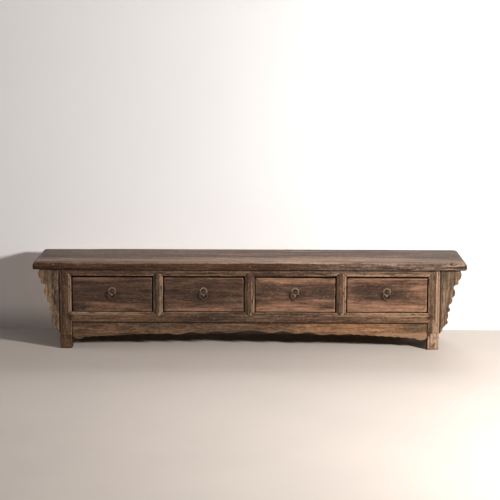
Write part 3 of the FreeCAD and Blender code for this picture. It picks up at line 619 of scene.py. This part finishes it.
def rail_fields(node, points, normals, fields, seed):
    """Chipped beads, lighter towards the ends, with dirt where the rail meets the legs, painted shadow of
    the top along the top rail, and painted shade along the lower rail's joint with the apron.
    """
    top = "top" in node
    lowest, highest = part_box(node)
    edge = lowest.z if top else highest.z
    strip = beads(points, normals, (Z, edge))
    sound = chipped(points, X, seed)
    rightness = step(0.05, 0.6, points[:, X])
    leftness = step(-0.42, -0.6, points[:, X])
    face = seen_from_front(normals)
    # Painted shade in the openings.
    lift(fields, "grime", into_openings(points, normals))
    if top:
        # Lighter towards the right, darker towards the left.
        lift(fields, "worn", strip * (0.1 + 0.3 * sound + 0.4 * rightness))
        lift(fields, "worn", 0.4 * rightness * face)
        # Painted shadow of the top board along the top of the rail.
        lift(fields, "grime", 0.9 * step(highest.z - 0.009, highest.z - 0.003, points[:, Z]))
        lift(fields, "grime", 0.35 * face * leftness)
    else:
        below = step(0.024, 0.018, edge - points[:, Z]) * face
        lift(fields, "worn", strip * (0.1 + 0.3 * sound + 0.5 * leftness))
        lift(fields, "worn", below * rightness * (0.36 + 0.35 * sound))
        fields["warm"] += 0.3 * (rightness + leftness)
        lift(fields, "grime", 0.6 * blot(points, -0.25, 0.15, 0.3, 0.03))
        # Painted shade along the lower edge, at the joint with the apron.
        lift(fields, "grime", 0.9 * step(lowest.z + 0.005, lowest.z + 0.001, points[:, Z]))
        for side in (-1, 1):
            corner_mark(points, fields, side)
    dents = break_beads(points, fields, X, strip, sound, seed)
    return dents, half_round(points, (Z, edge))


def apron_fields(node, points, normals, fields, seed):
    """Warm towards the right and at the left end, dull beside the right leg, rubbed low down, with
    painted shadow of the rail along its top.
    """
    face = seen_from_front(normals)
    joint = low("front_lower_rail").z
    fields["warm"] += 0.55 * step(0.0, 0.45, points[:, X])
    fields["warm"] += 0.35 * blot(points, -0.74, 0.085, 0.16, 0.022)
    fields["warm"] -= 0.9 * blot(points, LEG_IN - 0.05, 0.115, 0.07, 0.028)
    lift(fields, "grime", 0.35 * blot(points, LEG_IN - 0.05, 0.118, 0.06, 0.02) * face)
    lift(fields, "worn", 0.75 * face * step(0.45, 0.7, points[:, X]) * step(0.090, 0.076, points[:, Z]))
    # Painted shadow of the lower rail along the top of the apron.
    lift(fields, "grime", 0.9 * step(joint - 0.010, joint - 0.003, points[:, Z]))
    lift(fields, "worn", 0.7 * step(0.2, 0.7, -normals[:, Z]))
    return np.zeros(len(points)), 0


def from_outline(points):
    """How far in from the scalloped edge of a wing each point is, at its own height."""
    level = np.floor((points[:, Z] - points[:, Z].min()) / OUTLINE_SLICE).astype(int)
    reach = np.zeros(level.max() + 1)
    np.maximum.at(reach, level, np.abs(points[:, X]))
    return reach[level] - np.abs(points[:, X])


WING_TONES = {"left": 0.95, "right": 0.72}


def wing_fields(node, points, normals, fields, seed):
    """Weathered along the grain, with a rubbed edge and painted shade where it meets the leg."""
    end = node.split("_")[-1]
    ridges = streaks(points, Z, 0.12, 0.009, seed + 9, 2)
    face = np.abs(normals[:, Y])
    fields["tone"] *= WING_TONES[end] * (0.95 + 0.97 * step(0.3, 0.7, ridges))
    lift(fields, "worn", 0.6 * step(0.6, 0.3, face))
    lift(fields, "worn", 0.75 * np.exp(-from_outline(points) / 0.012) * chipped(points, Z, seed))
    fields["warm"] += 0.35 * np.exp(-from_outline(points) / 0.025)
    # Painted shade in the strip beside the leg.
    lift(fields, "grime", 0.8 * step(LEG_OUT + 0.008, LEG_OUT + 0.002, np.abs(points[:, X])))
    return 0.0014 * step(0.65, 0.35, ridges) * step(0.5, 0.9, face), 0


def patch(spot, u, v, half_width, half_height):
    """A soft-edged spot on a drawer front, on which u and v go from -1 to 1."""
    return np.exp(-((spot[0] - u) / half_width) ** 2 - ((spot[1] - v) / half_height) ** 2)


# Zones of each drawer front that show more than its even brown, as rows of field, strength,
# middle u and v, and half sizes.
DRAWER_ZONES = {
    1: (("warm", 0.80, -0.5, 0.95, 0.6, 0.16), ("warm", 0.75, 0.35, -0.72, 0.5, 0.18),
        ("warm", 0.45, -0.35, -0.62, 0.35, 0.16), ("worn", 0.4, 0.65, -0.28, 0.1, 0.12),
        ("grime", 0.45, -0.1, 0.2, 0.6, 0.4), ("grime", 0.35, -0.85, -0.75, 0.25, 0.15)),
    2: (("warm", 0.55, 0.1, -0.88, 1.0, 0.18), ("warm", 0.25, -0.7, -0.5, 0.3, 0.3),
        ("grime", 0.3, 0.1, 0.35, 0.6, 0.5), ("grime", 0.35, 0.9, 0.1, 0.2, 0.7)),
    3: (("warm", 0.8, -0.3, 0.95, 0.8, 0.2), ("warm", 0.9, -0.2, -0.75, 0.9, 0.45),
        ("warm", 0.5, 0.65, -0.3, 0.35, 0.12), ("grime", 0.5, -0.55, 0.25, 0.35, 0.3),
        ("grime", 0.4, 0.65, 0.4, 0.25, 0.25), ("grime", 0.45, 0.92, -0.65, 0.18, 0.3)),
    4: (("warm", 0.95, 0.0, -0.85, 1.1, 0.50), ("warm", 0.55, 0.85, 0.3, 0.25, 0.6),
        ("warm", 0.4, -0.95, 0.0, 0.15, 1.0), ("warm", 0.7, 0.0, 0.98, 0.9, 0.16),
        ("grime", 0.5, -0.15, 0.35, 0.60, 0.38), ("grime", 0.6, 0.75, -0.1, 0.09, 0.2)),
}
# How bright each drawer front is.
DRAWER_TONES = {1: 0.84, 2: 0.90, 3: 1.13, 4: 1.08}


def drawer_fields(node, points, normals, fields, seed):
    """The drawer's own zones, dirt around the ring from hands, a painted highlight on the wood inside the
    ring, painted shade in the openings, and rubbed edges.
    """
    number = int(node.split("_")[1])
    lowest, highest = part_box(node)
    middle, half = (highest + lowest) / 2, (highest - lowest) / 2
    face = seen_from_front(normals)
    ragged_u = streaks(points, X, 0.05, 0.006, seed + 5) - 0.5
    ragged_v = streaks(points, X, 0.12, 0.02, seed + 7) - 0.5
    spot = ((points[:, X] - middle.x) / half.x + 0.5 * ragged_u,
            (points[:, Z] - middle.z) / half.z + 0.4 * ragged_v)
    for name, strength, u, v, half_width, half_height in DRAWER_ZONES[number]:
        fields[name] += strength * face * patch(spot, u, v, half_width, half_height)
    fields["tone"] *= DRAWER_TONES[number]
    # Painted shade in the openings.
    lift(fields, "grime", into_openings(points, normals))
    ring_low, ring_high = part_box(f"pull_ring_{number}")
    ring_middle = (ring_low.z + ring_high.z) / 2
    lift(fields, "grime", 0.75 * face * blot(points, middle.x, ring_middle, 0.05, 0.035))
    # A painted highlight on the wood seen inside the ring, where the dirt is cleared.
    painted_light_in_ring = face * blot(points, middle.x, ring_middle - 0.003, 0.008, 0.006)
    fields["grime"] *= 1 - 0.9 * painted_light_in_ring
    lift(fields, "worn", 0.7 * painted_light_in_ring)
    inset = np.minimum.reduce([points[:, X] - lowest.x, highest.x - points[:, X],
                               highest.z - points[:, Z], points[:, Z] - lowest.z])
    sound = chipped(points, X, seed)
    lift(fields, "worn", (0.35 + 0.5 * sound) * np.exp(-np.maximum(inset, 0) / 0.005) * face)
    lift(fields, "worn", (0.25 + 0.4 * sound) * step(0.028, 0.008, points[:, Z] - lowest.z) * face)
    return np.zeros(len(points)), 0


# The knot at the right front corner of the top: place, and sizes of its rings.
KNOT = Vector((0.985, -0.19, 0.428))
KNOT_STRETCH = (1.6, 1.0, 1.0)
KNOT_RING, KNOT_REACH, KNOT_DEPTH = 0.0022, 0.022, 0.0016
# Swirls of the grain around the knot, on the front edge: field, middle x and z, half sizes.
KNOT_MARKS = (("grime", 0.978, 0.428, 0.012, 0.004), ("worn", 1.004, 0.420, 0.034, 0.004),
              ("grime", 0.985, 0.411, 0.045, 0.003), ("worn", 0.965, 0.402, 0.060, 0.004),
              ("grime", 1.046, 0.415, 0.008, 0.015))


def knot_fields(points, fields, front, seed):
    """Rings of the knot and the swirls beside it. Tells how deep the dark rings go."""
    reach = points - np.array(KNOT)
    distance = np.sqrt(np.sum((reach / np.array(KNOT_STRETCH)) ** 2, axis=1))
    swirl = np.sin(distance / KNOT_RING + 6 * noise(points, (0.03, 0.03, 0.03), seed + 41))
    near = np.exp(-(distance / KNOT_REACH) ** 2)
    lift(fields, "grime", near * step(0.2, 0.9, swirl))
    lift(fields, "worn", near * step(0.2, -0.6, swirl))
    for name, x, z, width, height in KNOT_MARKS:
        lift(fields, name, front * blot(points, x, z, width, height))
    return KNOT_DEPTH * near * step(0.2, 0.9, swirl)


SAG = 0.0015


def top_fields(node, points, normals, fields, seed):
    """Streaked and handled on the flat, with a painted highlight on the upper front edge, painted shade
    on the lower edge and towards the left, and a knot and sag.
    """
    front = step(0.1, 0.5, -normals[:, Y]) * step(0.05, 0.02, points[:, Y] - TOP_FRONT)
    border = normals[:, Z] + 0.5 * (streaks(points, X, 0.35, 0.05, seed + 3) - 0.5)
    upper = front * step(0.50, 0.70, border)
    lower = front * step(0.70, 0.45, border)
    flat = step(0.85, 0.97, normals[:, Z])
    long_streaks = streaks(points, X, 0.6, 0.07, seed + 31)
    rightness = step(-0.9, 0.4, points[:, X])
    banded = step(0.35, 0.7, long_streaks)
    # Painted shade darkens the top towards the left, and the flat is banded along the grain.
    fields["tone"] *= (0.70 + 0.30 * rightness) * (1 - 0.5 * flat * (banded - np.mean(banded)))
    fields["tone"] *= 1 + 0.7 * flat * (streaks(points, X, 0.3, 0.02, seed + 53) - 0.5)
    # Painted highlight on the upper front edge, and a little on the flat, brightest near the middle.
    fields["tone"] *= 1 + (0.5 * upper + 0.16 * flat) * np.exp(-((points[:, X] - 0.1) / 0.4) ** 2)
    handled = flat * step(0.02, -0.15, points[:, Y] + 0.12 * (long_streaks - 0.5))
    # The upper edge takes the painted highlight; the flat near the front is rubbed by hands.
    fields["worn"] = np.maximum.reduce([fields["worn"] * 0.5, 0.75 * upper, 0.65 * handled])
    lined = streaks(points, X, 0.2, 0.01, seed + 37)
    fine_lines = streaks(points, X, 0.1, 0.007, seed + 43) - 0.5
    fields["tone"] *= 1 + lower * (1.0 - 0.95 * rightness + 1.2 * fine_lines)
    far_right = step(0.0, 0.7, points[:, X])
    fields["warm"] = np.maximum(fields["warm"] * 0.5, 0.8 * lower * (1 - 0.8 * far_right))
    lift(fields, "worn", lower * far_right * (0.05 + 0.4 * lined))
    # Painted shade on the lower front edge, which faces down.
    lift(fields, "grime", lower * (0.5 - 0.3 * far_right) * (0.6 + 0.6 * lined))
    knot_dents = knot_fields(points, fields, front, seed)
    sag = SAG * step(0.3, 0.7, noise(points, (0.5, 0.5, 0.5), seed + 47, 2)) * flat
    sag *= step(0.5, 0.0, points[:, X])
    return sag + knot_dents, 0


def build_wood():
    """Wear every board.

    The rows of the plan give the node, the size of its faces, its grain, how much longer the faces
    are along the grain, the rounds of wear, the material and what the board shows.
    """
    fine, broad = 0.0016, 0.003
    plan = [("top_board", 0.0024, X, 4, 14, "top_x", top_fields),
            ("front_top_rail", fine, X, 4, 9, "frame_x", rail_fields),
            ("front_lower_rail", fine, X, 4, 9, "frame_x", rail_fields),
            ("front_apron", 0.002, X, 1.5, 8, "apron_x", apron_fields),
            ("back_top_rail", broad, X, 4, 6, "frame_x", plain_fields),
            ("back_lower_rail", broad, X, 4, 6, "frame_x", plain_fields),
            ("back_panel", 0.0028, X, 5, 5, "inner_x", plain_fields),
            ("top_battens", broad, Y, 4, 6, "inner_y", plain_fields),
            ("drawer_runners", broad, Y, 4, 6, "inner_y", plain_fields),
            ("drawer_guides", broad, Y, 4, 6, "inner_y", plain_fields),
            ("side_aprons", 0.0022, Y, 2, 8, "apron_y", plain_fields)]
    for end in ("left", "right"):
        plan += [(f"leg_front_{end}", fine, Z, 3, 9, "frame_z", leg_fields),
                 (f"leg_back_{end}", 0.0022, Z, 3, 9, "frame_z", leg_fields),
                 (f"wing_front_{end}", 0.0018, Z, 1.5, 8, "wing_z", wing_fields),
                 (f"wing_back_{end}", 0.0022, Z, 1.5, 8, "wing_z", wing_fields),
                 (f"side_lower_rail_{end}", 0.0025, Y, 4, 7, "frame_y", plain_fields),
                 (f"side_top_rail_{end}", 0.0025, Y, 4, 7, "frame_y", plain_fields),
                 (f"side_panel_{end}", 0.0025, Y, 4, 5, "frame_y", plain_fields)]
    for divider in (1, 2, 3):
        plan.append((f"divider_{divider}", 0.0014, Z, 3, 9, "frame_z", divider_fields))
    for drawer in DRAWERS:
        plan.append((f"drawer_{drawer}_front", fine, X, 3, 14, "drawer_x", drawer_fields))
        plan += [(f"drawer_{drawer}_side_{end}", 0.0024, Y, 4, 5, "inner_y", plain_fields)
                 for end in ("left", "right")]
        plan.append((f"drawer_{drawer}_back", 0.0024, X, 4, 5, "inner_x", plain_fields))
        plan.append((f"drawer_{drawer}_bottom", 0.0022, X, 5, 4, "inner_x", plain_fields))
    for number, (node, voxel, grain, stretch, rounds, kind, fields_of) in enumerate(plan):
        wear_board(node, voxel, grain, stretch, rounds, MATERIALS[kind], fields_of,
                   FIRST_SEED + SEED_STEP * number)


# Middles of the eyes that the rings swing on.
EYES = {joint["child"]: Vector(joint["pos_m"])
        for joint in record["behaviour"]["joints"] if joint["type"] == "hinge"}
# Size of the faces of a pull, rounds of wear and depth of its dents.
PULL_VOXEL, PULL_ROUNDS, PULL_DENT = 0.00045, 14, 0.0003
FIRST_PULL_SEED, PULL_SEED_STEP = 700, 41


def pull_fields(node, part, drawer, points, normals, bulge, seed):
    """Bright where hands and the ring rub, dark in the middle of the plate."""
    patchy = 0.5 + 0.5 * noise(points, (0.01, 0.01, 0.01), seed + 3)
    worn = step(0.00005, 0.0004, bulge)
    grime = np.zeros(len(points))
    if part == "plate":
        eye = EYES[f"ring_{drawer}"]
        out = np.hypot(points[:, X] - eye.x, points[:, Z] - eye.z) / (high(node).x - eye.x)
        worn = np.maximum(0.5 * worn, step(0.66, 0.80, out))
        grime = 0.8 * step(0.62, 0.45, out)
    else:
        worn = np.maximum(0.8 * worn, 0.6 * seen_from_front(normals))
    return {"worn": worn * patchy, "grime": grime}


def build_pulls():
    """Wear the iron plate, pin and ring of every drawer."""
    for drawer in DRAWERS:
        for number, part in enumerate(("plate", "pin", "ring")):
            node = f"pull_{part}_{drawer}"
            piece = fine_copy(node, PULL_VOXEL, X, 1)
            points, normals, edges = read(piece.data)
            soft = relaxed(points, edges, PULL_ROUNDS)
            bulge = np.sum((points - soft) * normals, axis=1)
            seed = FIRST_PULL_SEED + PULL_SEED_STEP * drawer + number
            dents = PULL_DENT * noise(points, (0.005, 0.005, 0.005), seed, 2)
            write(piece, soft - normals * dents[:, None],
                  pull_fields(node, part, drawer, points, normals, bulge, seed))
            stand_in(piece, node, IRON)


build_wood()
build_pulls()


# Stage, light and camera

def add(name, data):
    thing = bpy.data.objects.new(name, data)
    bpy.context.collection.objects.link(thing)
    return thing


def sheet(name, corners):
    """One flat face of the stage."""
    mesh = bpy.data.meshes.new(name)
    mesh.from_pydata(corners, [], [tuple(range(len(corners)))])
    thing = add(name, mesh)
    thing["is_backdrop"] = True
    return thing


def upright(start, end, height):
    """Corners of a sheet that stands on the floor, on the line from start to end."""
    return [(*start, 0), (*end, 0), (*end, height), (*start, height)]


def pale(name, shade, unevenness):
    """Matt, slightly cloudy plaster or stone."""
    graph = Graph(name)
    cloud = graph.noise((1.7, 1.7, 1.7), roughness=0.55)
    speck = graph.noise((46, 46, 46), detail=3)
    base = graph.mix(graph.spread(cloud, 0.35, 0.65, to_high=unevenness), shade, CLOUDED)
    graph.feed(graph.shader.inputs["Base Color"], base)
    graph.shader.inputs["Roughness"].default_value = 0.8
    graph.shader.inputs["Specular IOR Level"].default_value = 0.1
    graph.bump(speck, strength=0.15, distance=0.002)
    return graph


FLOOR_REACH, WALL_PLACE, WALL_TOP = 12.0, 0.27, 9.0
# The wall glows for looking rays; below the given height the glow fades, a painted shade at its foot.
WALL_GLOW, WALL_FOOT_SHADE_HEIGHT = 0.16, 0.16
# How far from the table the floor begins to glow, where it glows in full, and how much.
FAR_FLOOR_START, FAR_FLOOR_END, FAR_FLOOR_GLOW = 2.6, 4.6, 0.6
CLOUDED, THROWN_BACK, SKY = (0.5, 0.47, 0.44, 1), (0.16, 0.15, 0.14, 1), (0.95, 0.96, 1.0, 1)
floor = sheet("floor", [(-FLOOR_REACH, -FLOOR_REACH, 0), (FLOOR_REACH, -FLOOR_REACH, 0),
                        (FLOOR_REACH, FLOOR_REACH, 0), (-FLOOR_REACH, FLOOR_REACH, 0)])
wall = sheet("wall", upright((-FLOOR_REACH, WALL_PLACE), (FLOOR_REACH, WALL_PLACE), WALL_TOP))


def flag(name, corners):
    """A sheet that is seen by no ray, and that keeps lamps off the floor under the table."""
    screen = sheet(name, corners)
    screen.visible_camera = screen.visible_diffuse = False
    screen.visible_glossy = screen.visible_transmission = False


# One flag low down at each end, and one behind the wall.
end_lowest, end_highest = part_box("side_aprons")
for end, place in (("left", end_lowest.x), ("right", end_highest.x)):
    flag(f"end_flag_{end}", upright((place, end_lowest.y), (place, end_highest.y), end_highest.z))
BACK_FLAG_PLACE = WALL_PLACE + 0.005
BACK_FLAG_LEFT = -2.0
flag("back_flag", upright((BACK_FLAG_LEFT, BACK_FLAG_PLACE), (LEG_IN, BACK_FLAG_PLACE), LEG_TOP))


def looking_rays(tree):
    """1 for a ray that looks at a thing, also in a mirror or through glass, 0 for one that lights it."""
    path = tree.nodes.new("ShaderNodeLightPath")
    total = path.outputs["Is Camera Ray"]
    for kind in ("Is Glossy Ray", "Is Transmission Ray"):
        node = tree.nodes.new("ShaderNodeMath")
        node.operation = "MAXIMUM"
        tree.links.new(total, node.inputs[0])
        tree.links.new(path.outputs[kind], node.inputs[1])
        total = node.outputs[0]
    return total


def dim_for_lighting(graph):
    """Keep the shade of a surface to look at, and let it throw little light back at the table."""
    socket = graph.shader.inputs["Base Color"]
    shade = socket.links[0].from_socket
    graph.feed(socket, graph.mix(looking_rays(graph.tree), THROWN_BACK, shade))


def wall_material():
    """Pale plaster that is there only from the front and stops no lamp, so it hides no other view."""
    graph = pale("pale_wall", colour(247, 248, 250), 0.05)
    tree = graph.tree
    dim_for_lighting(graph)
    side = tree.nodes.new("ShaderNodeNewGeometry")
    place = tree.nodes.new("ShaderNodeSeparateXYZ")
    tree.links.new(graph.place((1, 1, 1)), place.inputs[0])
    # Painted shade: the glow is weaker at the foot of the wall.
    glow = graph.spread(place.outputs["Z"], 0.0, WALL_FOOT_SHADE_HEIGHT, 0.4 * WALL_GLOW, WALL_GLOW)
    graph.feed(graph.shader.inputs["Emission Strength"], graph.math("MULTIPLY", looking_rays(tree), glow))
    graph.shader.inputs["Emission Color"].default_value = colour(255, 236, 224)
    path = tree.nodes.new("ShaderNodeLightPath")
    hidden = graph.math("MAXIMUM", side.outputs["Backfacing"], path.outputs["Is Shadow Ray"])
    shown = graph.math("SUBTRACT", 1.0, hidden)
    clear = tree.nodes.new("ShaderNodeBsdfTransparent")
    choice = tree.nodes.new("ShaderNodeMixShader")
    graph.feed(choice.inputs[0], shown)
    tree.links.new(clear.outputs[0], choice.inputs[1])
    tree.links.new(graph.shader.outputs[0], choice.inputs[2])
    tree.links.new(choice.outputs[0], tree.nodes["Material Output"].inputs["Surface"])
    return graph.material


def floor_material():
    """A pale floor that keeps its shade to look at where it is out of reach of the lamps."""
    graph = pale("pale_floor", colour(228, 216, 207), 0.10)
    dim_for_lighting(graph)
    away = graph.tree.nodes.new("ShaderNodeVectorMath")
    away.operation = "LENGTH"
    graph.feed(away.inputs[0], graph.place((1, 1, 1)))
    glow = graph.spread(away.outputs["Value"], FAR_FLOOR_START, FAR_FLOOR_END, 0.0, FAR_FLOOR_GLOW)
    graph.feed(graph.shader.inputs["Emission Strength"],
               graph.math("MULTIPLY", looking_rays(graph.tree), glow))
    graph.shader.inputs["Emission Color"].default_value = colour(255, 248, 242)
    return graph.material


wall.data.materials.append(wall_material())
floor.data.materials.append(floor_material())


def lamp(name, place, target, size, power, shade=(1, 1, 1)):
    data = bpy.data.lights.new(name, "AREA")
    data.size = size
    data.energy = power
    data.color = shade
    thing = add(name, data)
    thing.location = place
    thing.visible_camera = False
    thing.rotation_euler = (Vector(target) - Vector(place)).to_track_quat("-Z", "Y").to_euler()
    return thing


def light_only(source, things):
    """Let a lamp light only the given things, and return their collection.

    Everything still throws a shadow in its light.
    """
    lit = bpy.data.collections.new("lit_by_" + source.name)
    for thing in things:
        lit.objects.link(thing)
    source.light_linking.receiver_collection = lit
    return lit


KEY_PLACE, KEY_TARGET, KEY_SIZE = (3.3, -2.8, 1.5), (0.1, 0, 0.2), 0.4
KEY_SHADE, KEY_STAGE_SHADE = (1, 0.97, 0.93), (1, 0.992, 0.985)
key = lamp("key", KEY_PLACE, KEY_TARGET, KEY_SIZE, power=196, shade=KEY_SHADE)
key.visible_glossy = False
light_only(lamp("key_on_stage", KEY_PLACE, KEY_TARGET, KEY_SIZE, power=54, shade=KEY_STAGE_SHADE),
           [floor, wall])
light_only(lamp("overhead", (0.9, -0.6, 3.6), (0.3, 0, 0.3), size=2.5, power=16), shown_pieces())
light_only(lamp("behind_on_floor", (1.2, 2.6, 2.4), (0.6, -0.4, 0), size=1.6, power=64), [floor])
light_only(lamp("left_on_floor", (-3.0, -0.1, 1.8), (-1.2, 0.1, 0), size=1.2, power=9), [floor])
light_only(lamp("front_on_floor", (0.6, -2.3, 2.0), (0.6, -2.3, 0), size=1.0, power=8), [floor])
behind = lamp("behind", (-2.2, 4.2, 1.5), (0, 0, 0.2), size=2.2, power=280)
behind.visible_glossy = False
# Only the table's own pieces stop this lamp, because the flags would keep it off the table's back.
behind.light_linking.blocker_collection = light_only(behind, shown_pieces())

# The world lights little, and looks pale.
WORLD_LIGHT, WORLD_LOOK = 0.02, 0.95
world = bpy.data.worlds.new("world")
bpy.context.scene.world = world
world.use_nodes = True
background = world.node_tree.nodes["Background"]
background.inputs["Color"].default_value = SKY
strength = world.node_tree.nodes.new("ShaderNodeMapRange")
strength.inputs["To Min"].default_value = WORLD_LIGHT
strength.inputs["To Max"].default_value = WORLD_LOOK
world.node_tree.links.new(looking_rays(world.node_tree), strength.inputs["Value"])
world.node_tree.links.new(strength.outputs["Result"], background.inputs["Strength"])

# The camera, fitted to the photo by the table's corners
CAMERA_PLACE, LENS = (0.079, -7.482, 1.714), 110.2
YAW, PITCH, ROLL = math.radians(-0.604), math.radians(-9.509), math.radians(0.109)
camera_data = bpy.data.cameras.new("camera")
camera_data.lens = LENS
camera = add("camera", camera_data)
forward = Vector((math.sin(YAW) * math.cos(PITCH), math.cos(YAW) * math.cos(PITCH), math.sin(PITCH)))
turn = forward.to_track_quat("-Z", "Y").to_matrix().to_4x4() @ Matrix.Rotation(ROLL, 4, "Z")
camera.matrix_world = Matrix.Translation(CAMERA_PLACE) @ turn
bpy.context.scene.camera = camera
bpy.context.scene.view_settings.view_transform = "Standard"
